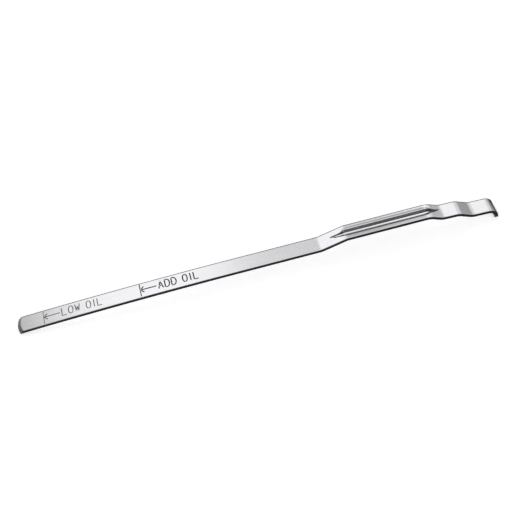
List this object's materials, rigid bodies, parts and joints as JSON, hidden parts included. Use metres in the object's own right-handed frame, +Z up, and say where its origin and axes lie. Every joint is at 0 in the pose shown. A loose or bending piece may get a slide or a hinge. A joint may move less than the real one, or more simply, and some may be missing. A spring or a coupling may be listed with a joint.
{
  "type": "engine oil dipstick",
  "caption": "Flat steel strip for reading an engine's oil level: bowed blade with stamped level lines, a raised grooved section and a stepped, hooked finger grip.",
  "frame": {"origin": "middle of the bounding box, on the floor under the strip as it lies", "axes": "+X along the strip from the blade's tip to the hook, +Y across it, +Z up from the floor"},
  "size_m": [0.2628, 0.0094, 0.0133],
  "materials": {
    "steel": "satin, with a fine grain along the strip and dark sheared edges"
  },
  "bodies": {
    "root": {"dipstick": "steel"}
  },
  "joints": []
}
